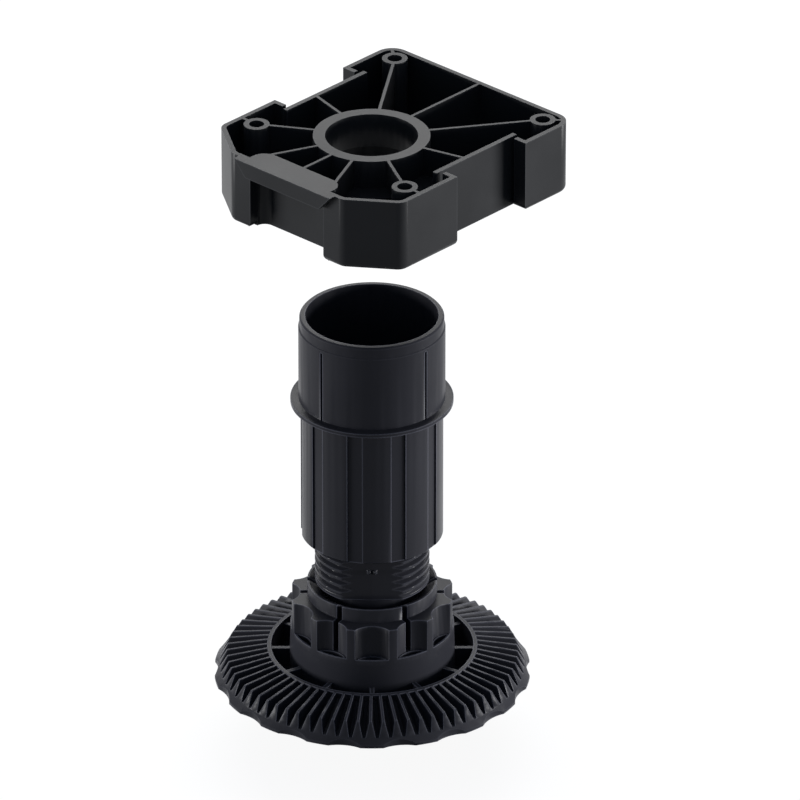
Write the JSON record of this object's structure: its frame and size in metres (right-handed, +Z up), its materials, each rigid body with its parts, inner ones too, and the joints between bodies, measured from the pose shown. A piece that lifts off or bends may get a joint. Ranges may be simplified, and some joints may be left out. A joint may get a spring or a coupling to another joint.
{
  "type": "adjustable cabinet leg",
  "caption": "Black plastic cabinet leg: ribbed screw-on bracket, fluted plug-in tube, adjusting screw and wide toothed foot with a scalloped hub.",
  "frame": {"origin": "on the leg's axis, on the floor under the foot", "axes": "+Z up along the leg, +Y towards the bracket's plain back wall, +X along its front wall"},
  "size_m": [0.0956, 0.0961, 0.1814],
  "materials": {
    "moulding": "satin black moulded plastic"
  },
  "bodies": {
    "bracket": {"bracket": "moulding"},
    "tube": {"tube": "moulding"},
    "foot": {"foot": "moulding"},
    "screw": {"adjusting_screw": "moulding"}
  },
  "joints": [
    {"name": "leg_insert", "type": "slide", "parent": "bracket", "child": "tube", "axis": [0, 0, 1], "range_m": [0, 0.049]},
    {"name": "foot_height", "type": "slide", "parent": "tube", "child": "foot", "axis": [0, 0, 1], "range_m": [-0.018, 0.015]},
    {"name": "screw_turn", "type": "hinge", "parent": "foot", "child": "screw", "pos_m": [0, 0, 0.02], "axis": [0, 0, 1], "range_deg": [-2592, 2160]}
  ],
  "couplings": [
    {"joint": "foot_height", "follows": "screw_turn", "m_per_rad": 0.00039789}
  ]
}
